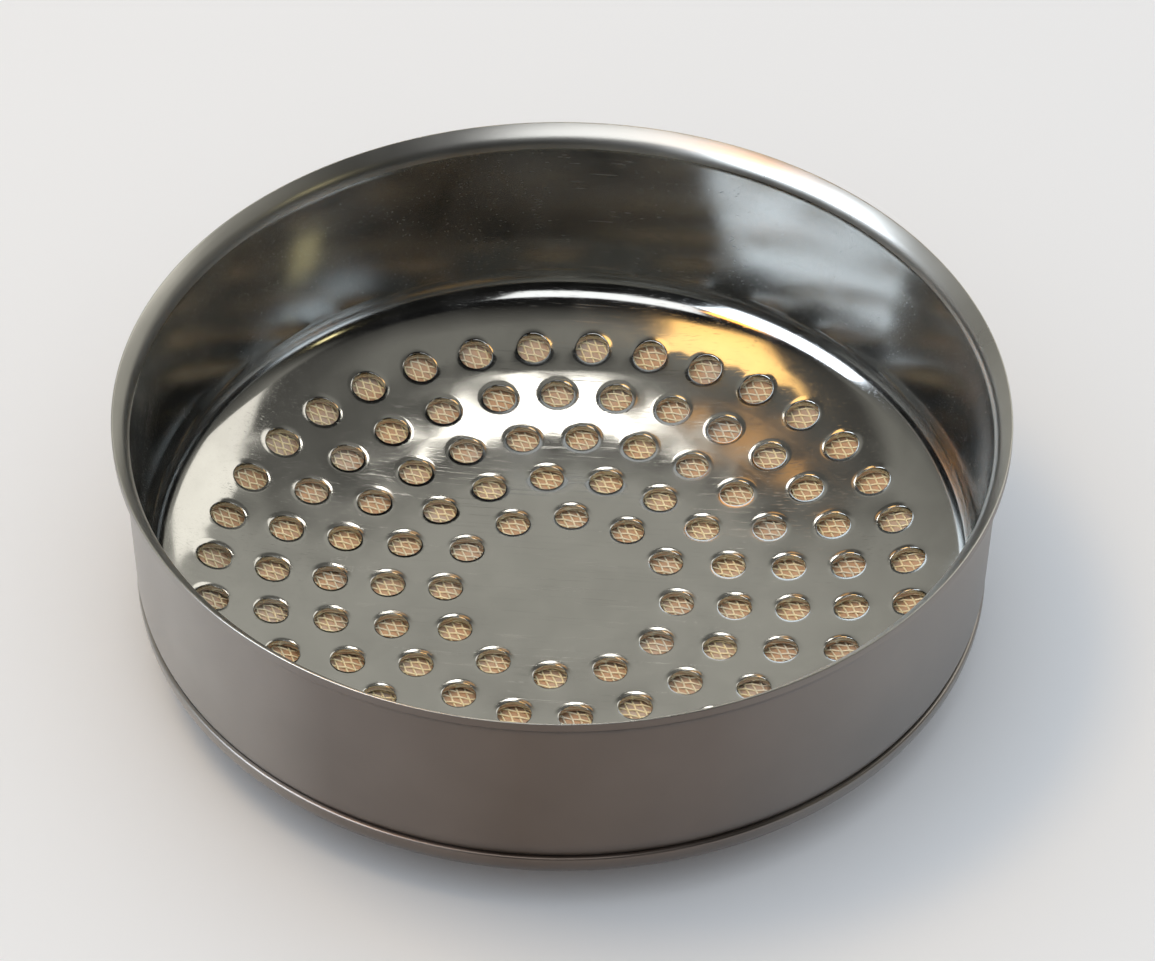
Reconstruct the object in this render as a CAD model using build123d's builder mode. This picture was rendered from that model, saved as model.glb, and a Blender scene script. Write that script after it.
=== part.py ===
from build123d import *
import math
import os

os.makedirs("parts", exist_ok=True)

# Espresso shower screen, open side up, as it sits in a group head.
# The origin is on the axis, at the lowest point of the wire mesh. Lengths are in millimetres.

# Overall size
rim_diameter = 60.0
overall_height = 18.3
wall_draft = 2.6

# Sheet and wire
cup_sheet = 0.5
ring_sheet = 0.3
wire_diameter = 0.2
clearance = 0.05

# Flared lip of the cup, on its upper face: a bend, then a straight slope out to the rim
lip_radius = 1.8
lip_slope = 45.0
lip_reach = 0.67

# Dished base of the cup, radii on its upper face
dish_radius = 50.0
dish_angle = 14.0
shoulder_radius = 12.2
shoulder_angle = 19.0
bend_radius = 2.7

# Punched holes
hole_diameter = 2.3
hole_margin = 3.26
inner_ring = 2
outer_ring = 6
holes_per_ring_step = 6

# Woven mesh, drawn coarse: the real weave has a wire every 0.65 mm
mesh_edge_angle = 30.0
weave_pitch = 4.2
weave_gap = 2.8
weave_turn = 12.0
gap_edge_margin = 1.2

# Retaining ring, pressed over the cup's bottom bend, corner radius on the middle of its sheet
ring_height = 4.8
corner_radius = 1.85
flange_angle = 24.0
flange_grip = 0.5

# A cutting area that starts on the axis and is taller than the part
blank_height = 2 * overall_height
from_axis = (Align.MIN, Align.CENTER)

# Directions of the sheet, as angles above the horizontal
draft = math.radians(wall_draft)
lip_end = math.radians(lip_slope)
dish_end = math.radians(dish_angle)
shoulder_end = math.radians(dish_angle + shoulder_angle)
flange_slope = math.radians(flange_angle)

# Heights through the flat middle: mesh, clearance, cup sheet
mesh_thickness = 2 * wire_diameter
base_top = mesh_thickness + clearance + cup_sheet
mesh_depth = cup_sheet + clearance

# Top of the cup's wall, where the lip starts, on its inner face
lip_centre_radius = rim_diameter / 2 - lip_reach + lip_radius * math.sin(lip_end)
lip_centre_height = overall_height - lip_reach * math.tan(lip_end) - lip_radius * math.cos(lip_end)
wall_top_radius = lip_centre_radius - lip_radius * math.cos(draft)
wall_top_height = lip_centre_height + lip_radius * math.sin(draft)

# Bend between the base and the wall, on the inner face
bend_start_height = (
    base_top
    + dish_radius * (1 - math.cos(dish_end))
    + shoulder_radius * (math.cos(dish_end) - math.cos(shoulder_end))
)
bend_top_height = bend_start_height + bend_radius * (math.cos(shoulder_end) - math.sin(draft))
bend_top_radius = wall_top_radius - (wall_top_height - bend_top_height) * math.tan(draft)
bend_centre_radius = bend_top_radius - bend_radius * math.cos(draft)
bend_centre_height = bend_top_height + bend_radius * math.sin(draft)
bend_start_radius = bend_centre_radius + bend_radius * math.sin(shoulder_end)

# Centre of the shoulder's arc, which the mesh and the ring's flange share
shoulder_centre_radius = bend_start_radius - shoulder_radius * math.sin(shoulder_end)
shoulder_centre_height = bend_start_height + shoulder_radius * math.cos(shoulder_end)
flat_radius = shoulder_centre_radius - (dish_radius - shoulder_radius) * math.sin(dish_end)

# Hole rings: the outermost stays clear of the bend, the others share its radius evenly
outer_ring_radius = bend_start_radius - hole_margin
ring_spacing = outer_ring_radius / outer_ring

# Middle line of the retaining ring: where its flange meets the mesh, and its wall round the cup's bend
seat_arc = shoulder_radius + mesh_depth + mesh_thickness + clearance + ring_sheet / 2
seat_radius = shoulder_centre_radius + seat_arc * math.sin(flange_slope)
seat_height = shoulder_centre_height - seat_arc * math.cos(flange_slope)
bend_outside = math.sqrt((bend_radius + cup_sheet) ** 2 - (bend_centre_height - ring_height) ** 2)
ring_radius = bend_centre_radius + bend_outside + clearance + ring_sheet / 2

# Gaps of the drawn weave: as many rows as fit inside the flange, with bars that cross on the axis
gap_reach = seat_radius - gap_edge_margin - weave_gap / math.sqrt(2)
weave_rows = 2 * math.ceil(gap_reach / weave_pitch)


def base_line(depth, end_angle):
    """Flat middle, dish and shoulder as one line, a depth below the base's upper face."""
    height = base_top - depth
    flat = Line((0, height), (flat_radius, height))
    dish = JernArc(start=flat @ 1, tangent=(1, 0), radius=dish_radius + depth, arc_size=dish_angle)
    return JernArc(
        start=dish @ 1,
        tangent=dish % 1,
        radius=shoulder_radius + depth,
        arc_size=end_angle - dish_angle,
    )


# Drawn cup: one sheet, from the dished base with its punched holes to the flared lip
with BuildPart() as drawn_cup:
    with BuildSketch(Plane.XZ):
        with BuildLine():
            base = base_line(0, dish_angle + shoulder_angle)
            bend = JernArc(
                start=base @ 1,
                tangent=base % 1,
                radius=bend_radius,
                arc_size=90 - wall_draft - dish_angle - shoulder_angle,
            )
            wall = Line(bend @ 1, (wall_top_radius, wall_top_height))
            lip = JernArc(
                start=wall @ 1,
                tangent=wall % 1,
                radius=lip_radius,
                arc_size=lip_slope + wall_draft - 90,
            )
            Line(lip @ 1, lip @ 1 + (lip % 1) * (lip_reach / math.cos(lip_end) + cup_sheet))
            offset(amount=cup_sheet, side=Side.RIGHT, kind=Kind.INTERSECTION)
        make_face()
        # The lip is trimmed straight down at the rim's diameter
        Rectangle(rim_diameter / 2, blank_height, align=from_axis, mode=Mode.INTERSECT)
    revolve(axis=Axis.Z)
    for ring in range(inner_ring, outer_ring + 1):
        with BuildSketch(Plane.XY):
            with PolarLocations(ring * ring_spacing, holes_per_ring_step * ring):
                Circle(hole_diameter / 2)
        extrude(amount=bend_start_height, mode=Mode.SUBTRACT)
drawn_cup.part.label = "drawn_cup"
export_step(drawn_cup.part, "parts/drawn_cup.step")

# Wire mesh: a woven disc under the cup's base, its edge gripped by the ring's flange
with BuildPart() as wire_mesh:
    with BuildSketch(Plane.XZ):
        with BuildLine():
            upper = base_line(mesh_depth, mesh_edge_angle)
            lower = base_line(mesh_depth + mesh_thickness, mesh_edge_angle)
            Line(upper @ 1, lower @ 1)
            Line((0, mesh_thickness), (0, 0))
        make_face()
    revolve(axis=Axis.Z)
    with BuildSketch(Plane.XY.rotated((0, 0, weave_turn))):
        with GridLocations(weave_pitch, weave_pitch, weave_rows, weave_rows) as grid:
            crossings = [place.position for place in grid.local_locations]
        with Locations(*[place for place in crossings if place.length < gap_reach]):
            Rectangle(weave_gap, weave_gap)
    extrude(amount=bend_start_height, mode=Mode.SUBTRACT)
wire_mesh.part.label = "wire_mesh"
export_step(wire_mesh.part, "parts/wire_mesh.step")

# Retaining ring: thin sheet round the bottom bend, its edge turned in under the mesh
with BuildPart() as retaining_ring:
    with BuildSketch(Plane.XZ):
        with BuildLine():
            flange_tip = (
                seat_radius - flange_grip * math.cos(flange_slope),
                seat_height - flange_grip * math.sin(flange_slope),
            )
            corner_height = seat_height + (ring_radius - seat_radius) * math.tan(flange_slope)
            FilletPolyline(
                flange_tip,
                (ring_radius, corner_height),
                (ring_radius, ring_height),
                radius=corner_radius,
            )
            offset(amount=ring_sheet / 2, side=Side.BOTH)
        make_face()
    revolve(axis=Axis.Z)
retaining_ring.part.label = "retaining_ring"
export_step(retaining_ring.part, "parts/retaining_ring.step")
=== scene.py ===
"""Espresso shower screen: finishes, woven wires and studio, fitted round the fixed frame."""

import math

import bmesh
import bpy
from bpy.props import FloatProperty, IntProperty, PointerProperty, StringProperty
from mathutils import Matrix, Vector


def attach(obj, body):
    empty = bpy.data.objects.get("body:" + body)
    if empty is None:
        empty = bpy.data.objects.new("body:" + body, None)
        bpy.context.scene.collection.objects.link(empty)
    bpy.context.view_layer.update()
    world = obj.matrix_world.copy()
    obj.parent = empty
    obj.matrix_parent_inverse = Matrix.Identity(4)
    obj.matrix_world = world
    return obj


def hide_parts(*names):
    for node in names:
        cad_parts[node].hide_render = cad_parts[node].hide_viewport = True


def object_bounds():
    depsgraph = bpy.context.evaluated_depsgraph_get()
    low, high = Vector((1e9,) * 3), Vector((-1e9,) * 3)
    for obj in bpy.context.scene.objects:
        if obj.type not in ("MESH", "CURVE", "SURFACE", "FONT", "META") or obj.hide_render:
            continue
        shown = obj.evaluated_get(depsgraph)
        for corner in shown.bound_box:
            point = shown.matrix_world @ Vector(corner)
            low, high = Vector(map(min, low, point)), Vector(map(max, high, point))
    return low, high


bl_info = {
    "name": "Espresso Shower Screen",
    "version": (1, 0, 0),
    "blender": (4, 5, 0),
    "location": "View3D > Sidebar > Shower Screen",
    "description": "Punched cup, woven wires, pressed ring and studio of a shower screen",
    "category": "Add Mesh",
}

# Forms are worked out in millimetres and scaled to metres when they are shown
MM = 0.001
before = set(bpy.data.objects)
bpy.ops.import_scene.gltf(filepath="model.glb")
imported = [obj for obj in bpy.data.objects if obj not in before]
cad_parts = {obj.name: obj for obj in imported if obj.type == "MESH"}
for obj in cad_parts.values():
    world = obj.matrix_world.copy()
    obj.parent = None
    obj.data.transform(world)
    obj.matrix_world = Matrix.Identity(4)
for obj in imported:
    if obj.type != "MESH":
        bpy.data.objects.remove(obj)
CAD_LOW, CAD_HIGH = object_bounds()
RIM_RADIUS = CAD_HIGH.x / MM
RIM_HEIGHT = CAD_HIGH.z / MM

# Every ring has this many holes more than the one inside it
HOLES_PER_RING_STEP = 6

# Facets all round, the distance within which points are merged, and the turn that stays sharp
RING_STEPS = 288
CLOTH_STEPS = 144
MERGE = 0.001
SHEET_SHARP = math.radians(38)
WIRE_SHARP = math.radians(80)

# Painted shade across the front: from the left to the right along X, darker and browner towards the
# middle, where the wall faces the camera, and light at both ends
FRONT_PAINTED_SHADE = (
    (0.0, 1.0),
    (0.1, "#f5f5f5"),
    (0.29, "#b4adaa"),
    (0.5, "#a2968f"),
    (0.7, "#afa6a2"),
    (0.9, "#d5d4d5"),
)

# From 4 to 7 mm up the wall's steel turns duller than the base's, and a darker, slightly blue tint
# paints shade on it
WALL_FROM, WALL_FULL = 4 * MM, 7 * MM
WALL_PAINTED_SHADE = "#e5e7ea"
WALL_DULLNESS = 0.07

# The camera was fitted to the rim, the hole rings and the outline: turns in degrees, offset in
# hole spacings, lens and sensor in millimetres
CAMERA_PITCH, CAMERA_ROLL, CAMERA_TURN = 132.55, 0.35, -5.17
CAMERA_OFFSET = (-0.283, 1.961, 107.339)
CAMERA_UNIT = 3.974 * MM
CAMERA_LIFT = 1.0 * MM
CAMERA_LENS, CAMERA_SENSOR = 194.28, 36.0
CAMERA_CLIP = (0.05, 20.0)


class ScreenSheet(bpy.types.PropertyGroup):
    """Sizes of the cup's sheet, wall and lip, in millimetres."""

    sheet: FloatProperty(
        name="Sheet",
        description="Thickness of the cup's sheet in mm",
        default=0.5,
        min=0.2,
        max=1.0,
    )
    draft: FloatProperty(
        name="Wall draft",
        description="Lean of the cup's wall",
        default=math.radians(2.6),
        subtype="ANGLE",
    )
    clearance: FloatProperty(
        name="Clearance", description="Gap between pressed pieces in mm", default=0.05, min=0.0
    )
    lip_radius: FloatProperty(
        name="Lip radius",
        description="Bend of the flared lip, on its upper face, in mm",
        default=1.8,
    )
    lip_slope: FloatProperty(
        name="Lip slope",
        description="Slope of the lip above the horizontal",
        default=math.radians(45),
        subtype="ANGLE",
    )
    lip_reach: FloatProperty(
        name="Lip reach", description="Width of the lip's straight slope in mm", default=0.67
    )
    rim_round: FloatProperty(
        name="Rim rounding", description="Rounding of the trimmed rim in mm", default=0.07
    )


class ScreenRing(bpy.types.PropertyGroup):
    """Sizes of the retaining ring, in millimetres."""

    sheet: FloatProperty(
        name="Sheet", description="Thickness of the ring's sheet in mm", default=0.3
    )
    height: FloatProperty(
        name="Height", description="Height of the ring's upper edge in mm", default=4.8
    )
    corner_radius: FloatProperty(
        name="Corner radius",
        description="Bottom corner, on the middle of the sheet, in mm",
        default=1.85,
    )
    flange_angle: FloatProperty(
        name="Flange angle",
        description="Slope of the turned-in edge",
        default=math.radians(24),
        subtype="ANGLE",
    )
    flange_grip: FloatProperty(
        name="Flange grip",
        description="How far the flange reaches past its line of contact in mm",
        default=0.5,
    )
    edge_round: FloatProperty(
        name="Edge rounding",
        description="Rounding of the upper edge, outside, in mm",
        default=0.22,
    )


class ScreenBase(bpy.types.PropertyGroup):
    """Shape of the dished base and its holes, in millimetres."""

    dish_radius: FloatProperty(
        name="Dish radius", description="Curve of the dish in mm", default=50.0
    )
    dish_angle: FloatProperty(
        name="Dish angle",
        description="Slope where the dish meets the shoulder",
        default=math.radians(14),
        subtype="ANGLE",
    )
    shoulder_radius: FloatProperty(
        name="Shoulder radius", description="Curve of the shoulder in mm", default=12.2
    )
    shoulder_angle: FloatProperty(
        name="Shoulder angle",
        description="Turn of the shoulder",
        default=math.radians(19),
        subtype="ANGLE",
    )
    bend_radius: FloatProperty(
        name="Bend radius", description="Bend between the base and the wall in mm", default=2.7
    )
    hole_radius: FloatProperty(
        name="Hole radius", description="Radius of a punched hole in mm", default=1.15
    )
    hole_edge: FloatProperty(
        name="Hole edge", description="Rounding of a hole's upper edge in mm", default=0.03
    )
    dip_width: FloatProperty(
        name="Dip width", description="Width of the dip round a hole in mm", default=0.42
    )
    dip_depth: FloatProperty(
        name="Dip depth", description="Depth of the dip at a hole's edge in mm", default=0.045
    )
    hole_margin: FloatProperty(
        name="Hole margin",
        description="Outer ring's distance inside the bend in mm",
        default=3.26,
    )
    inner_ring: IntProperty(
        name="Inner ring", description="First ring of holes", default=2, min=1
    )
    outer_ring: IntProperty(
        name="Outer ring", description="Last ring of holes", default=6, min=2
    )


class ScreenWeave(bpy.types.PropertyGroup):
    """Sizes of the woven wires, in millimetres."""

    pitch: FloatProperty(
        name="Pitch", description="Distance between crossings along a wire in mm", default=0.625
    )
    half: FloatProperty(
        name="Half thickness", description="Half the thickness of the mesh in mm", default=0.2
    )
    wire: FloatProperty(name="Wire", description="Thickness of a wire in mm", default=0.14)
    warp_turn: FloatProperty(
        name="Warp",
        description="Direction of the warp wires",
        default=math.radians(-5.7),
        subtype="ANGLE",
    )
    weft_turn: FloatProperty(
        name="Weft",
        description="Direction of the weft wires, pulled askew by the dish",
        default=math.radians(113),
        subtype="ANGLE",
    )
    cloth: FloatProperty(
        name="Cloth", description="Thickness of the fine cloth in mm", default=0.05
    )
    cloth_drop: FloatProperty(
        name="Cloth drop",
        description="Depth of the fine cloth under the middle of the wires in mm",
        default=0.06,
    )
    edge_angle: FloatProperty(
        name="Edge angle",
        description="Slope of the mesh at its edge",
        default=math.radians(30),
        subtype="ANGLE",
    )


class ScreenFinish(bpy.types.PropertyGroup):
    """Colours of the steel and the table, as sRGB hex values."""

    satin_colour: StringProperty(
        name="Satin", description="Satin steel outside", default="#b5b1ac"
    )
    lip_colour: StringProperty(
        name="Lip", description="Brushed steel of the lip", default="#c3c2bd"
    )
    polish_colour: StringProperty(
        name="Polish", description="Polished steel inside", default="#b0b0ad"
    )
    wire_colour: StringProperty(
        name="Wires", description="Steel wire, warmed by coffee oil", default="#fff0c6"
    )
    cloth_colour: StringProperty(
        name="Cloth", description="Fine filter cloth under the wires", default="#cba584"
    )
    floor_colour: StringProperty(name="Floor", description="Pale table top", default="#eeeff1")


def linear(hex_colour):
    """Turns an sRGB hex value into linear red, green, blue and alpha."""
    parts = [int(hex_colour[i : i + 2], 16) / 255 for i in (1, 3, 5)]
    tones = [c / 12.92 if c <= 0.04045 else ((c + 0.055) / 1.055) ** 2.4 for c in parts]
    return (*tones, 1.0)


def add_node(tree, kind, settings=(), inputs=(), links=()):
    """Adds a node with its settings, input values and incoming links."""
    node = tree.nodes.new(kind)
    for name, value in dict(settings).items():
        setattr(node, name, value)
    for name, value in dict(inputs).items():
        node.inputs[name].default_value = value
    for name, socket in dict(links).items():
        tree.links.new(socket, node.inputs[name])
    return node


def new_material(name):
    """An empty node material and its tree."""
    material = bpy.data.materials.new(name)
    material.use_nodes = True
    material.node_tree.nodes.clear()
    return material, material.node_tree


def add_surface(tree, inputs, links=()):
    """Adds the Principled shader and the output node."""
    shader = add_node(tree, "ShaderNodeBsdfPrincipled", inputs=inputs, links=links)
    add_node(tree, "ShaderNodeOutputMaterial", links={"Surface": shader.outputs["BSDF"]})


def object_place(tree):
    """Object coordinates, in metres."""
    return add_node(tree, "ShaderNodeTexCoord").outputs["Object"]


def along(tree, vector, axis):
    """One of a vector's coordinates, by the axis letter."""
    return add_node(tree, "ShaderNodeSeparateXYZ", links={"Vector": vector}).outputs[axis]


def ranged(tree, value, low, high):
    """Maps a value from low to high onto 0 to 1, held at both ends."""
    inputs = {"From Min": low, "From Max": high}
    return add_node(
        tree, "ShaderNodeMapRange", inputs=inputs, links={"Value": value}
    ).outputs["Result"]


def combine(tree, kind, settings, values):
    """Adds a node whose inputs are each a socket or a value."""
    links = {key: item for key, item in values.items() if isinstance(item, bpy.types.NodeSocket)}
    inputs = {key: item for key, item in values.items() if key not in links}
    return add_node(tree, kind, settings, inputs, links)


def calculated(tree, operation, *values):
    """The result of a calculation with sockets and numbers."""
    node = combine(tree, "ShaderNodeMath", {"operation": operation}, dict(enumerate(values)))
    return node.outputs["Value"]


def mixed(tree, blend, first, second, factor=1.0):
    """Two colours mixed. Each colour and the factor is a socket or a value."""
    settings = {"data_type": "RGBA", "blend_type": blend}
    values = {"Factor": factor, "A": first, "B": second}
    return combine(tree, "ShaderNodeMix", settings, values).outputs["Result"]


def tone_ramp(tree, source, stops):
    """A colour ramp through (place, hex colour or grey) stops."""
    node = add_node(tree, "ShaderNodeValToRGB", links={"Fac": source})
    ramp = node.color_ramp
    while len(ramp.elements) < len(stops):
        ramp.elements.new(0.5)
    for element, (place, tone) in zip(ramp.elements, stops):
        element.position = place
        element.color = linear(tone) if isinstance(tone, str) else (tone, tone, tone, 1.0)
    return node.outputs["Color"]


def blotches(tree, coords, size_mm, detail, distortion=0.0):
    """Noise with blotches near a size."""
    inputs = {"Scale": 1 / (size_mm * MM), "Detail": detail, "Distortion": distortion}
    return add_node(
        tree, "ShaderNodeTexNoise", inputs=inputs, links={"Vector": coords}
    ).outputs["Fac"]


def streaks(tree, coords, lengths_mm, detail, turn=0.0):
    """Noise drawn out to a length along each axis, turned about the vertical."""
    scale = [1 / (length * MM) for length in lengths_mm]
    drawn = add_node(
        tree,
        "ShaderNodeMapping",
        inputs={"Rotation": (0.0, 0.0, turn), "Scale": scale},
        links={"Vector": coords},
    ).outputs["Vector"]
    inputs = {"Scale": 1.0, "Detail": detail}
    return add_node(
        tree, "ShaderNodeTexNoise", inputs=inputs, links={"Vector": drawn}
    ).outputs["Fac"]


def bumped(tree, height, strength, depth_mm):
    """A bumped normal from a pattern of heights."""
    inputs = {"Strength": strength, "Distance": depth_mm * MM}
    return add_node(
        tree, "ShaderNodeBump", inputs=inputs, links={"Height": height}
    ).outputs["Normal"]


def satin_rolled_steel(name, colour, clear, dull, shaded_front=False):
    """Stainless sheet, rolled and lightly satined; the last flag adds painted shade, darker and
    browner across the middle of the front.
    """
    material, tree = new_material(name)
    coords = object_place(tree)
    # Drawing marks run round the wall, about 0.15 mm apart
    marks = streaks(tree, coords, (9, 9, 0.15), detail=3.0)
    cloud = blotches(tree, coords, 7, detail=4.0)
    shade = tone_ramp(tree, cloud, [(0.3, 0.86), (0.7, 1.0)])
    tint = mixed(tree, "MULTIPLY", linear(colour), shade)
    if shaded_front:
        # Painted shade: a darker, browner tint across the middle of the front, along X
        aside = ranged(tree, along(tree, coords, "X"), CAD_LOW.x, CAD_HIGH.x)
        tint = mixed(tree, "MULTIPLY", tint, tone_ramp(tree, aside, FRONT_PAINTED_SHADE))
    add_surface(
        tree,
        {"Metallic": 1.0},
        {
            "Base Color": tint,
            "Roughness": tone_ramp(tree, cloud, [(0.25, clear), (0.75, dull)]),
            "Normal": bumped(tree, marks, strength=0.12, depth_mm=0.02),
        },
    )
    return material


def polished_scratched_steel(colour):
    """Deep-drawn stainless sheet, polished and wiped many times, with scratches and smudges."""
    material, tree = new_material("polished scratched stainless steel")
    coords = object_place(tree)
    # Hair scratches in two directions, drawn near 0.1 mm wide so that they show
    first = streaks(tree, coords, (14, 0.12, 0.12), detail=2.0, turn=math.radians(24))
    second = streaks(tree, coords, (10, 0.10, 0.10), detail=2.0, turn=math.radians(-51))
    lines = tone_ramp(tree, calculated(tree, "MAXIMUM", first, second), [(0.64, 0.0), (0.74, 1.0)])
    smudge = blotches(tree, coords, 5, detail=5.0, distortion=0.6)
    film = tone_ramp(tree, smudge, [(0.35, 0.08), (0.72, 0.15)])
    worn = mixed(tree, "ADD", film, lines, factor=0.12)
    wall = ranged(tree, along(tree, coords, "Z"), WALL_FROM, WALL_FULL)
    shade = tone_ramp(tree, smudge, [(0.3, 0.88), (0.65, 1.0)])
    tint = mixed(tree, "MULTIPLY", linear(colour), shade)
    add_surface(
        tree,
        {"Metallic": 1.0},
        {
            # Painted shade: the wall's colour is darkened and turned slightly blue above 4 mm; only
            # the added roughness is the wall's own duller finish
            "Base Color": mixed(tree, "MULTIPLY", tint, linear(WALL_PAINTED_SHADE), factor=wall),
            "Roughness": calculated(tree, "MULTIPLY_ADD", wall, WALL_DULLNESS, worn),
            "Normal": bumped(tree, lines, strength=0.1, depth_mm=0.01),
        },
    )
    return material


def oiled_steel(name, colour, clean_colour, clean_share, patch_mm, roughness):
    """Stainless wire under coffee oil, which is thinner in patches where clean steel shows."""
    material, tree = new_material(name)
    patch = blotches(tree, object_place(tree), patch_mm, detail=3.0)
    clean = tone_ramp(tree, patch, [(0.45, 0.0), (0.7, clean_share)])
    tint = mixed(tree, "MIX", linear(colour), linear(clean_colour), factor=clean)
    add_surface(tree, {"Metallic": 0.1, "Roughness": roughness}, {"Base Color": tint})
    return material


def oiled_steel_wire(colour):
    """Drawn stainless wire, warmed by coffee oil: small bright glints of gold and grey."""
    return oiled_steel("drawn stainless wire with coffee oil", colour, "#d8d8d6", 0.7, 6, 0.3)


def filter_cloth(colour):
    """Fine wire cloth, wires 0.03 mm thick and too close to tell apart, so it looks matt."""
    return oiled_steel("fine stainless filter cloth", colour, "#c4c2bf", 0.6, 4, 0.6)


def matt_painted_table(colour):
    """Pale table top, rolled with matt paint."""
    material, tree = new_material("matt painted table")
    add_surface(tree, {"Base Color": linear(colour), "Roughness": 0.8})
    return material


def arc(centre, radius, start, end, steps):
    """Points on an arc in the radius-height plane, angles in radians."""
    angles = [start + (end - start) * i / steps for i in range(steps + 1)]
    return [
        Vector((centre[0] + radius * math.cos(a), centre[1] + radius * math.sin(a)))
        for a in angles
    ]


def spun(section, steps, closed=False):
    """A bmesh spun all round the axis from a section of (radius, height) points."""
    bm = bmesh.new()
    points = [bm.verts.new((radius, 0.0, height)) for radius, height in section]
    following = points[1:] + points[:1] if closed else points[1:]
    edges = [bm.edges.new(ends) for ends in zip(points, following)]
    bmesh.ops.spin(
        bm,
        geom=points + edges,
        cent=(0, 0, 0),
        axis=(0, 0, 1),
        angle=2 * math.pi,
        steps=steps,
        use_merge=True,
    )
    return bm


def take_in(bm, other):
    """Moves what a second bmesh holds into the first."""
    carrier = bpy.data.meshes.new("carrier")
    other.to_mesh(carrier)
    other.free()
    bm.from_mesh(carrier)
    bpy.data.meshes.remove(carrier)


class Form:
    """Lines that the pieces share, worked out from the sizes as in the part's source."""

    def __init__(self, scene):
        cup, ring = scene.screen_sheet, scene.screen_ring
        base, weave = scene.screen_base, scene.screen_weave
        self.sheet, self.draft = cup.sheet, cup.draft
        self.dish, self.shoulder = base.dish_radius, base.shoulder_radius
        self.bend = base.bend_radius
        self.dish_end = base.dish_angle
        self.shoulder_end = base.dish_angle + base.shoulder_angle
        self.base_top = 2 * weave.half + cup.clearance + cup.sheet
        self.lip_centre = Vector(
            (
                RIM_RADIUS - cup.lip_reach + cup.lip_radius * math.sin(cup.lip_slope),
                RIM_HEIGHT
                - cup.lip_reach * math.tan(cup.lip_slope)
                - cup.lip_radius * math.cos(cup.lip_slope),
            )
        )
        self.wall_top = self.lip_centre + cup.lip_radius * Vector(
            (-math.cos(self.draft), math.sin(self.draft))
        )
        start_height = (
            self.base_top
            + self.dish * (1 - math.cos(self.dish_end))
            + self.shoulder * (math.cos(self.dish_end) - math.cos(self.shoulder_end))
        )
        bend_top = start_height + self.bend * (math.cos(self.shoulder_end) - math.sin(self.draft))
        self.bend_centre = Vector(
            (
                self.wall_radius(bend_top) - self.bend * math.cos(self.draft),
                bend_top + self.bend * math.sin(self.draft),
            )
        )
        self.bend_start = self.bend_centre[0] + self.bend * math.sin(self.shoulder_end)
        self.shoulder_centre = Vector(
            (
                self.bend_start - self.shoulder * math.sin(self.shoulder_end),
                start_height + self.shoulder * math.cos(self.shoulder_end),
            )
        )
        self.flat = self.shoulder_centre[0] - (self.dish - self.shoulder) * math.sin(self.dish_end)
        self.ring_spacing = (self.bend_start - base.hole_margin) / base.outer_ring
        # Middle of the mesh below the base's upper face, and the radius of its edge
        self.mesh_depth = cup.sheet + cup.clearance + weave.half
        self.mesh_edge = self.shoulder_centre[0] + (
            self.shoulder + self.mesh_depth
        ) * math.sin(weave.edge_angle)
        # Middle line of the ring: where its flange meets the mesh, and its wall round the bend
        seat_arc = self.shoulder + cup.sheet + 2 * weave.half + 2 * cup.clearance + ring.sheet / 2
        self.seat = self.shoulder_centre + seat_arc * Vector(
            (math.sin(ring.flange_angle), -math.cos(ring.flange_angle))
        )
        outside = math.sqrt(
            (self.bend + cup.sheet) ** 2 - (self.bend_centre[1] - ring.height) ** 2
        )
        self.ring_radius = self.bend_centre[0] + outside + cup.clearance + ring.sheet / 2

    def wall_radius(self, height):
        """Radius of the inside of the cup's wall at a height."""
        return self.wall_top[0] - (self.wall_top[1] - height) * math.tan(self.draft)

    def base_height(self, radius, depth):
        """Height of the base at a radius, a depth below its upper face."""
        if radius <= self.flat:
            return self.base_top - depth
        if radius <= self.flat + (self.dish + depth) * math.sin(self.dish_end):
            drop = math.sqrt((self.dish + depth) ** 2 - (radius - self.flat) ** 2)
            return self.base_top + self.dish - drop
        reach = radius - self.shoulder_centre[0]
        return self.shoulder_centre[1] - math.sqrt((self.shoulder + depth) ** 2 - reach**2)


def finish_piece(bm, name, materials, nodes, zone=None):
    """Turns a bmesh in millimetres into a shown piece. zone gives each face its material."""
    bmesh.ops.scale(bm, vec=(MM, MM, MM), verts=bm.verts)
    bmesh.ops.recalc_face_normals(bm, faces=bm.faces)
    if zone:
        for face in bm.faces:
            face.material_index = zone(face.calc_center_median() / MM, face.normal)
    mesh = bpy.data.meshes.new(name)
    bm.to_mesh(mesh)
    bm.free()
    show_piece(mesh, name, materials, nodes, SHEET_SHARP)


def show_piece(mesh, name, materials, nodes, sharp):
    """Links a mesh as a piece that rides on the only body and stands for CAD nodes."""
    mesh.shade_smooth()
    mesh.set_sharp_from_angle(angle=sharp)
    for material in materials:
        mesh.materials.append(material)
    piece = bpy.data.objects.new(name, mesh)
    bpy.context.scene.collection.objects.link(piece)
    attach(piece, "root")
    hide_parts(*nodes)


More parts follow.
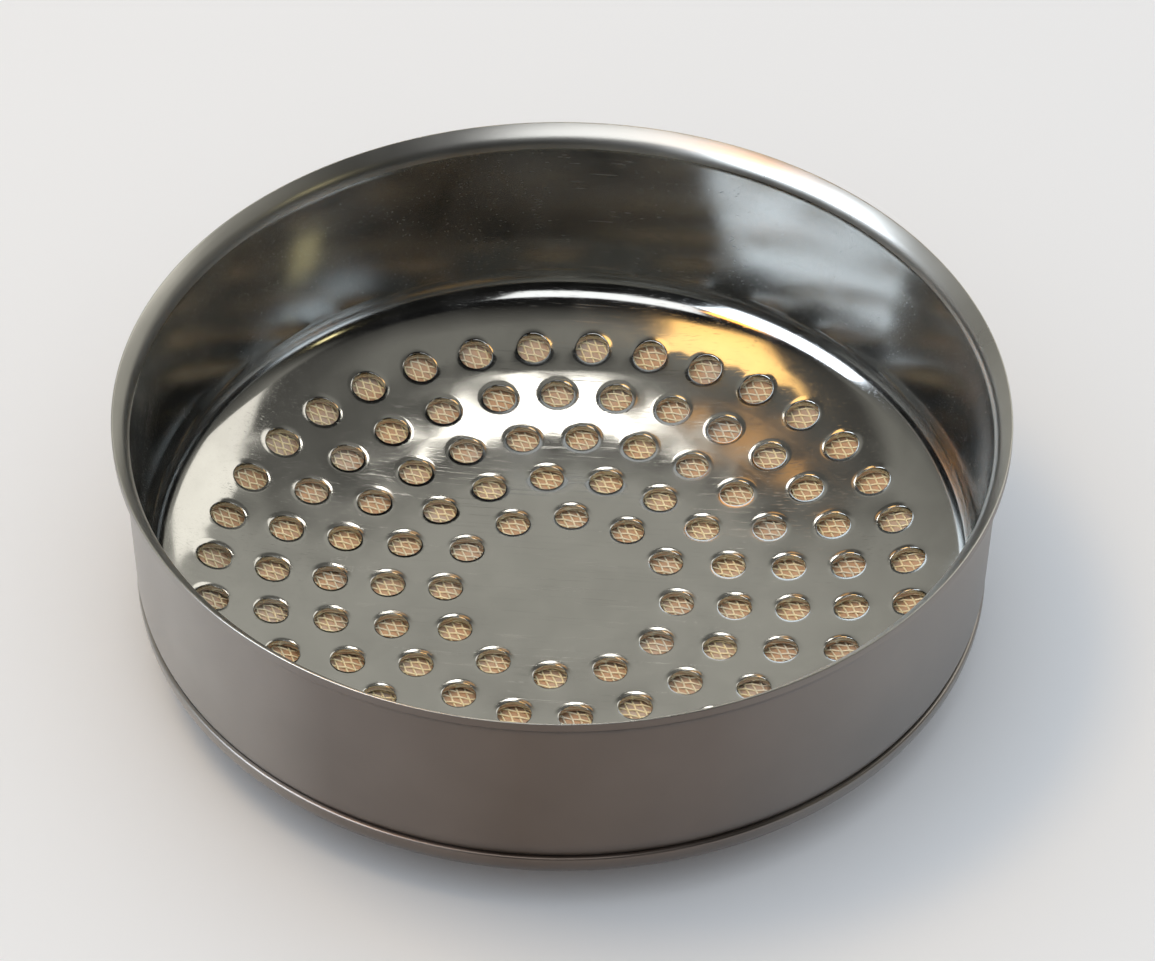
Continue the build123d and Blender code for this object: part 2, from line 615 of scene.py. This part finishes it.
class SCREEN_OT_ring(bpy.types.Operator):
    """Spins the retaining ring from its section"""

    bl_idname = "screen.ring"
    bl_label = "Retaining Ring"

    tip_steps, edge_steps = 8, 8
    inside_steps, outside_steps = 14, 18

    def execute(self, context):
        ring, finish = context.scene.screen_ring, context.scene.screen_finish
        form = Form(context.scene)
        half, slope = ring.sheet / 2, ring.flange_angle
        flange = Vector((math.cos(slope), math.sin(slope)))
        # The corner's centre lies one radius inside the ring's wall and one above its flange
        centre_radius = form.ring_radius - ring.corner_radius
        above = form.seat + ring.corner_radius * Vector((-flange[1], flange[0]))
        corner = above + flange * (centre_radius - above[0]) / flange[0]
        tip = form.seat - ring.flange_grip * flange
        edge = ring.edge_round
        top = Vector((form.ring_radius + half - edge, ring.height - edge))
        right = math.pi / 2
        section = arc(tip, half, 3 * right + slope, right + slope, self.tip_steps)
        section += arc(corner, ring.corner_radius - half, slope - right, 0.0, self.inside_steps)
        section += [Vector((form.ring_radius - half, ring.height))]
        section += arc(top, edge, right, 0.0, self.edge_steps)
        section += arc(corner, ring.corner_radius + half, 0.0, slope - right, self.outside_steps)
        bm = spun(section, RING_STEPS, closed=True)
        bmesh.ops.remove_doubles(bm, verts=bm.verts, dist=MERGE)
        # True adds the painted shade across the middle of the front
        steel = satin_rolled_steel("pressed stainless ring", finish.satin_colour, 0.3, 0.4, True)
        finish_piece(bm, "pressed_ring", [steel], ["retaining_ring"])
        return {"FINISHED"}


class SCREEN_OT_cup(bpy.types.Operator):
    """Forms the punched cup: a cell round each hole, ring by ring, then its bend, wall and lip"""

    bl_idname = "screen.cup"
    bl_label = "Punched Cup"

    # Facets along each side of a cell, and half the width of the seam between two rings in mm
    side_steps = 8
    seam = 0.12
    # Rows of facets in the dip, and how far the middle row of a hole's rounded edge lies out
    dip_rows = 5
    edge_middle = 0.3
    # Distances in mm: to find a circle's points, to merge cells, and to merge plate and wall
    near = 0.004
    cell_merge, wall_merge = 0.002, 0.01
    # Facets of the wall's section
    shoulder_steps, bend_steps, rim_steps = 5, 24, 8
    lip_steps, lip_back_steps = 14, 12
    # A face belongs to the outside if it turns outward by more than the first and upward by
    # less than the second. The lip's brushed face starts a little above the wall, in mm.
    outward, upward = 0.1, 0.5
    lip_start = 0.3

    def hole_cell(self, form, base, ring):
        """One cell of a ring: the hole, the dip round it, and the plate above and below, flat."""
        radius = ring * form.ring_spacing
        half_turn = math.pi / (HOLES_PER_RING_STEP * ring)
        count = 4 * self.side_steps
        inner = radius - form.ring_spacing / 2 + self.seam
        outer = radius + form.ring_spacing / 2 - self.seam

        def circle(reach):
            """Points round the hole."""
            turns = [2 * math.pi * i / count for i in range(count)]
            return [(radius + reach * math.cos(t), reach * math.sin(t)) for t in turns]

        def border():
            """Points round the cell's border, which start in the middle of its outer side."""
            places = []
            for i in range(count):
                side, step = divmod(i + self.side_steps // 2, self.side_steps)
                share = step / self.side_steps
                turn = half_turn * (2 * share - 1)
                across = outer + (inner - outer) * share
                sides = (
                    (outer, turn),
                    (across, half_turn),
                    (inner, -turn),
                    (inner + outer - across, -half_turn),
                )
                places.append(sides[side % len(sides)])
            return [(r * math.cos(t), r * math.sin(t)) for r, t in places]

        def put(verts, spots, depth):
            """Puts vertices on spots, at a depth below the plate's upper face."""
            for vert, (x, y) in zip(verts, spots):
                vert.co = (x, y, -depth)

        bm = bmesh.new()
        made = bmesh.ops.create_circle(bm, segments=count, radius=1.0)
        loop = sorted(
            made["verts"], key=lambda v: math.atan2(v.co.y, v.co.x) % (2 * math.pi)
        )
        put(loop, border(), form.sheet)
        # From the underside up the hole's wall, over its edge and the dip, to the cell's border
        wall, edge = base.hole_radius, base.hole_edge
        rounding = self.edge_middle * edge
        rows = [
            (circle(wall), form.sheet),
            (circle(wall), base.dip_depth + edge),
            (circle(wall + rounding), base.dip_depth + rounding),
        ]
        for row in range(self.dip_rows + 1):
            share = (edge / base.dip_width) * (1 - row / self.dip_rows) + row / self.dip_rows
            depth = base.dip_depth * (1 - share) ** 2
            rows.append((circle(wall + base.dip_width * share), depth))
        rows.append((border(), 0.0))
        for spots, depth in rows:
            edges = [bm.edges.get(ends) for ends in zip(loop, loop[1:] + loop[:1])]
            out = bmesh.ops.extrude_edge_only(bm, edges=edges)
            fresh = {item for item in out["geom"] if isinstance(item, bmesh.types.BMVert)}
            loop = [
                next(e.other_vert(vert) for e in vert.link_edges if e.other_vert(vert) in fresh)
                for vert in loop
            ]
            put(loop, spots, depth)
        return bm

    def open_loop(self, bm, radius, depth):
        """The open edges on the circle at a radius and a depth."""
        on = {
            v
            for v in bm.verts
            if abs(math.hypot(v.co.x, v.co.y) - radius) < self.near
            and abs(v.co.z + depth) < self.near
        }
        return [e for e in bm.edges if on.issuperset(e.verts) and len(e.link_faces) < 2]

    def punched_plate(self, form, base):
        """The plate: rings of cells joined by seams and closed in the middle, then dished."""
        bm = bmesh.new()
        for ring in range(base.inner_ring, base.outer_ring + 1):
            cell = self.hole_cell(form, base, ring)
            holes = HOLES_PER_RING_STEP * ring
            bmesh.ops.spin(
                cell,
                geom=cell.verts[:] + cell.edges[:] + cell.faces[:],
                cent=(0, 0, 0),
                axis=(0, 0, 1),
                angle=2 * math.pi * (holes - 1) / holes,
                steps=holes - 1,
                use_duplicate=True,
            )
            bmesh.ops.remove_doubles(cell, verts=cell.verts, dist=self.cell_merge)
            take_in(bm, cell)
        for depth in (0.0, form.sheet):
            for ring in range(base.inner_ring, base.outer_ring):
                middle = (ring + 0.5) * form.ring_spacing
                edges = self.open_loop(bm, middle - self.seam, depth)
                edges += self.open_loop(bm, middle + self.seam, depth)
                bmesh.ops.bridge_loops(bm, edges=edges)
            innermost = (base.inner_ring - 0.5) * form.ring_spacing + self.seam
            bmesh.ops.edgeloop_fill(bm, edges=self.open_loop(bm, innermost, depth))
        # The depth in the flat plate turns into the height of the dished sheet
        for vert in bm.verts:
            radius = math.hypot(vert.co.x, vert.co.y)
            share = -vert.co.z / form.sheet
            top, low = form.base_height(radius, 0.0), form.base_height(radius, form.sheet)
            vert.co.z = top + (low - top) * share
        return bm

    def wall_strip(self, form, base, cup):
        """Shoulder, bend, wall and lip, from the inside round the rim to the outside."""
        edge = (base.outer_ring + 0.5) * form.ring_spacing - self.seam
        reach = edge - form.shoulder_centre[0]
        under = form.shoulder + form.sheet
        start = math.asin(reach / form.shoulder) - math.pi / 2
        start_under = math.asin(reach / under) - math.pi / 2
        turn = form.shoulder_end - math.pi / 2
        lip_in, lip_out = math.pi - form.draft, math.pi / 2 + cup.lip_slope
        rim = cup.rim_round
        rim_drop = rim * (math.tan(cup.lip_slope) + 1 / math.cos(cup.lip_slope))
        rim_centre = (RIM_RADIUS - rim, RIM_HEIGHT - rim_drop)
        section = arc(form.shoulder_centre, form.shoulder, start, turn, self.shoulder_steps)
        section += arc(form.bend_centre, form.bend, turn, -form.draft, self.bend_steps)[1:]
        section += arc(form.lip_centre, cup.lip_radius, lip_in, lip_out, self.lip_steps)
        section += arc(rim_centre, rim, lip_out, 0.0, self.rim_steps)
        section += [Vector((RIM_RADIUS, RIM_HEIGHT - form.sheet / math.cos(cup.lip_slope)))]
        section += arc(
            form.lip_centre, cup.lip_radius - form.sheet, lip_out, lip_in, self.lip_back_steps
        )
        section += arc(
            form.bend_centre, form.bend + form.sheet, -form.draft, turn, self.bend_steps
        )
        section += arc(form.shoulder_centre, under, turn, start_under, self.shoulder_steps)[1:]
        return spun(section, HOLES_PER_RING_STEP * base.outer_ring * self.side_steps)

    def execute(self, context):
        scene = context.scene
        form, finish = Form(scene), scene.screen_finish
        bm = self.punched_plate(form, scene.screen_base)
        # The strip has as many facets all round as the outer ring's cells have corners
        take_in(bm, self.wall_strip(form, scene.screen_base, scene.screen_sheet))
        bmesh.ops.remove_doubles(bm, verts=bm.verts, dist=self.wall_merge)

        def zone(spot, normal):
            """0 for the polished inside, 1 for the rolled outside, 2 for the lip's upper face."""
            around = Vector((spot[0], spot[1], 0.0)).normalized()
            outside = normal.dot(around) > self.outward and normal[2] < self.upward
            if outside and spot.xy.length > form.bend_start:
                return 1
            return 2 if spot[2] > form.wall_top[1] + self.lip_start else 0

        steels = [
            polished_scratched_steel(finish.polish_colour),
            # True adds the painted shade across the middle of the front
            satin_rolled_steel("rolled stainless steel", finish.satin_colour, 0.4, 0.5, True),
            satin_rolled_steel("brushed stainless lip", finish.lip_colour, 0.26, 0.32),
        ]
        finish_piece(bm, "punched_cup", steels, ["drawn_cup"], zone)
        return {"FINISHED"}


class SCREEN_OT_weave(bpy.types.Operator):
    """Weaves the wires of the mesh over and under each other, with a fine cloth under them"""

    bl_idname = "screen.weave"
    bl_label = "Woven Wires"

    # How far the wires and the cloth end inside the mesh's edge in mm
    wire_inset, cloth_inset = 0.2, 0.4
    # Height of a wire's waves as a share of its thickness, and the shortest wire in half pitches
    crimp = 0.4
    shortest = 2
    cloth_rows = 24

    def wires(self, context, name, across, material):
        """All wires of one direction as one piece. across is 0 for warp and 1 for weft."""
        weave, form = context.scene.screen_weave, Form(context.scene)
        edge = form.mesh_edge - self.wire_inset
        turns = (weave.warp_turn, weave.weft_turn)
        ways = [Vector((math.cos(turn), math.sin(turn))) for turn in turns]
        along_way, aside_way = ways[across], ways[1 - across]
        lean = along_way.dot(aside_way)
        rows = int(edge / (weave.pitch * math.sqrt(1 - lean**2)))
        curve = bpy.data.curves.new(name, "CURVE")
        curve.dimensions = "3D"
        curve.bevel_depth = weave.wire / 2
        curve.bevel_resolution = 1
        curve.use_fill_caps = True
        for row in range(-rows, rows + 1):
            # The wire's nearest point to the axis, and how far it reaches each way, in half pitches
            middle = -row * lean * 2
            chord = math.sqrt(max(edge**2 - (row * weave.pitch) ** 2 * (1 - lean**2), 0.0))
            reach = chord * 2 / weave.pitch
            first, last = math.ceil(middle - reach), math.floor(middle + reach)
            if last - first < self.shortest:
                continue
            spline = curve.splines.new("POLY")
            spline.points.add(last - first)
            for half_step, point in zip(range(first, last + 1), spline.points):
                spot = (along_way * half_step / 2 + aside_way * row) * weave.pitch
                wave = math.cos(math.pi * (half_step / 2 + row + across))
                height = form.base_height(spot.length, form.mesh_depth)
                point.co = (spot[0], spot[1], height + weave.wire * self.crimp * wave, 1.0)
        drawn = bpy.data.objects.new(name, curve)
        mesh = bpy.data.meshes.new_from_object(drawn)
        bpy.data.objects.remove(drawn)
        bpy.data.curves.remove(curve)
        mesh.transform(Matrix.Scale(MM, 4))
        mesh.materials.clear()
        show_piece(mesh, name, [material], ["wire_mesh"], WIRE_SHARP)

    def cloth(self, context):
        """The fine cloth in the wires' cells: a thin dished disc in their lower half."""
        scene = context.scene
        weave, form = scene.screen_weave, Form(scene)
        upper = form.mesh_depth + weave.cloth_drop
        edge = form.mesh_edge - self.cloth_inset
        radii = [edge * i / self.cloth_rows for i in range(self.cloth_rows + 1)]
        section = [(r, form.base_height(r, upper)) for r in radii]
        section += [(r, form.base_height(r, upper + weave.cloth)) for r in reversed(radii)]
        bm = spun(section, CLOTH_STEPS)
        bmesh.ops.remove_doubles(bm, verts=bm.verts, dist=MERGE)
        steel = filter_cloth(scene.screen_finish.cloth_colour)
        finish_piece(bm, "filter_cloth", [steel], ["wire_mesh"])

    def execute(self, context):
        material = oiled_steel_wire(context.scene.screen_finish.wire_colour)
        self.wires(context, "warp_wires", 0, material)
        self.wires(context, "weft_wires", 1, material)
        self.cloth(context)
        return {"FINISHED"}


class SCREEN_OT_studio(bpy.types.Operator):
    """Sets the pale table, the room, the soft lamps and the camera"""

    bl_idname = "screen.studio"
    bl_label = "Studio"

    table_reach = 2.5
    lamp_distance = 0.6

    # How light the room is that the steel shows: along +Y, with the height, and along +X. It is
    # dark behind the camera and above eye level, pale along the horizon, and dim at its right.
    depth_tones = ((0.0, 0.01), (0.38, 0.03), (0.52, 0.9), (1.0, 1.0))
    height_tones = (
        (0.0, 0.85),
        (0.45, 0.72),
        (0.70, 0.66),
        (0.77, 0.17),
        (0.87, 0.2),
        (0.93, 0.38),
        (1.0, 0.42),
    )
    side_tones = ((0.0, 0.3), (0.3, 0.8), (0.45, 1.0), (0.6, 1.0), (0.85, 0.6), (1.0, 0.12))
    room_colour = "#fffcf0"

    # The even, slightly blue light on the table, with the height it comes from
    sky_tones = ((0.0, 0.05), (0.3, 0.35), (1.0, 1.0))
    sky_light = (1.14, 1.2, 1.26, 1.0)

    # Name, azimuth and elevation in degrees, size in metres, strength, colour
    lamps = (
        ("window", 211, 29, (0.44, 0.30), 7.0, "#eaf4ff"),
        ("ceiling lamp", 262, 53, (0.42, 0.20), 2.6, "#fbfdff"),
        ("warm lamp", 169, 71, (0.22, 0.15), 3.4, "#ffc671"),
        ("warm light on the table", 169, 68, (0.22, 0.15), 6.5, "#ffd38c", True),
        ("warm shelf", 222, 46, (0.12, 0.07), 10.0, "#ffab45"),
        ("warm halo", 107, 55, (0.05, 0.08), 0.9, "#ffb860"),
        ("far lamp", 94, 58, (0.055, 0.11), 8.0, "#fffaf0"),
        ("cream wall", 43, 39, (0.34, 0.24), 1.5, "#fffaf0"),
        ("low lamp", 341, 28, (0.06, 0.05), 3.8, "#fff0b4"),
    )

    def add_table(self, scene):
        """The table top, level with the origin."""
        bm = bmesh.new()
        bmesh.ops.create_grid(bm, x_segments=1, y_segments=1, size=self.table_reach)
        mesh = bpy.data.meshes.new("table")
        bm.to_mesh(mesh)
        bm.free()
        mesh.materials.append(matt_painted_table(scene.screen_finish.floor_colour))
        table = bpy.data.objects.new("table", mesh)
        scene.collection.objects.link(table)

    def add_room(self, scene):
        """The world: the steel shows the room, and all else is lit by the sky light."""
        world = bpy.data.worlds.new("studio room")
        scene.world = world
        world.use_nodes = True
        tree = world.node_tree
        tree.nodes.clear()
        ways = add_node(tree, "ShaderNodeTexCoord").outputs["Generated"]
        depth = tone_ramp(tree, ranged(tree, along(tree, ways, "Y"), -1.0, 1.0), self.depth_tones)
        height = tone_ramp(tree, along(tree, ways, "Z"), self.height_tones)
        side = tone_ramp(tree, ranged(tree, along(tree, ways, "X"), -1.0, 1.0), self.side_tones)
        room = mixed(tree, "MULTIPLY", mixed(tree, "MULTIPLY", depth, height), side)
        room = mixed(tree, "MULTIPLY", room, linear(self.room_colour))
        sky = tone_ramp(tree, along(tree, ways, "Z"), self.sky_tones)
        sky = mixed(tree, "MULTIPLY", sky, self.sky_light)
        glossy = add_node(tree, "ShaderNodeLightPath").outputs["Is Glossy Ray"]
        light = add_node(
            tree,
            "ShaderNodeBackground",
            inputs={"Strength": 1.0},
            links={"Color": mixed(tree, "MIX", sky, room, factor=glossy)},
        ).outputs["Background"]
        add_node(tree, "ShaderNodeOutputWorld", links={"Surface": light})

    def add_lamp(self, name, azimuth, elevation, size, strength, colour, for_table=False):
        """A soft box that faces the object. It shows only in the steel, at strength 1 as white.

        A lamp for the table doesn't show in the steel, and lights what is matt.
        """
        light = bpy.data.lights.new(name, "AREA")
        light.shape = "RECTANGLE"
        light.size, light.size_y = size
        light.color = linear(colour)[:3]
        light.energy = strength * math.pi * size[0] * size[1]
        lamp = bpy.data.objects.new(name, light)
        bpy.context.scene.collection.objects.link(lamp)
        a, e = math.radians(azimuth), math.radians(elevation)
        out = Vector((math.cos(a) * math.cos(e), math.sin(a) * math.cos(e), math.sin(e)))
        lamp.location = out * self.lamp_distance
        lamp.rotation_euler = out.to_track_quat("Z", "Y").to_euler()
        lamp.visible_diffuse = for_table
        lamp.visible_glossy = not for_table

    def add_camera(self, scene):
        """The camera, at the photograph's place."""
        camera = bpy.data.cameras.new("camera")
        camera.sensor_width = CAMERA_SENSOR
        camera.lens = CAMERA_LENS
        camera.clip_start, camera.clip_end = CAMERA_CLIP
        view = bpy.data.objects.new("camera", camera)
        scene.collection.objects.link(view)
        turn = (
            Matrix.Rotation(math.radians(CAMERA_PITCH), 3, "X")
            @ Matrix.Rotation(math.radians(CAMERA_ROLL), 3, "Y")
            @ Matrix.Rotation(math.radians(CAMERA_TURN), 3, "Z")
        )
        place = -(turn.transposed() @ Vector(CAMERA_OFFSET)) * CAMERA_UNIT
        place += Vector((0, 0, CAMERA_LIFT))
        axes = Matrix((turn[0], -turn[1], -turn[2])).transposed()
        view.matrix_world = Matrix.Translation(place) @ axes.to_4x4()
        scene.camera = view

    def execute(self, context):
        scene = context.scene
        self.add_table(scene)
        self.add_room(scene)
        for lamp in self.lamps:
            self.add_lamp(*lamp)
        self.add_camera(scene)
        scene.view_settings.view_transform = "Standard"
        return {"FINISHED"}


class SCREEN_PT_panel(bpy.types.Panel):
    """Lists the pieces and their sizes"""

    bl_label = "Shower Screen"
    bl_space_type = "VIEW_3D"
    bl_region_type = "UI"
    bl_category = "Shower Screen"

    def draw(self, context):
        for name, group in GROUPS.items():
            box = self.layout.box()
            sizes = getattr(context.scene, name)
            for prop in group.__annotations__:
                box.prop(sizes, prop)
        for operator in OPERATORS:
            self.layout.operator(operator.bl_idname)


GROUPS = {
    "screen_sheet": ScreenSheet,
    "screen_ring": ScreenRing,
    "screen_base": ScreenBase,
    "screen_weave": ScreenWeave,
    "screen_finish": ScreenFinish,
}
OPERATORS = (SCREEN_OT_cup, SCREEN_OT_weave, SCREEN_OT_ring, SCREEN_OT_studio)
CLASSES = (*GROUPS.values(), *OPERATORS, SCREEN_PT_panel)


def register():
    for cls in CLASSES:
        bpy.utils.register_class(cls)
    for name, group in GROUPS.items():
        setattr(bpy.types.Scene, name, PointerProperty(type=group))


def unregister():
    for name in GROUPS:
        delattr(bpy.types.Scene, name)
    for cls in reversed(CLASSES):
        bpy.utils.unregister_class(cls)


def main():
    register()
    bpy.ops.screen.cup()
    bpy.ops.screen.weave()
    bpy.ops.screen.ring()
    bpy.ops.screen.studio()


if __name__ == "__main__":
    main()
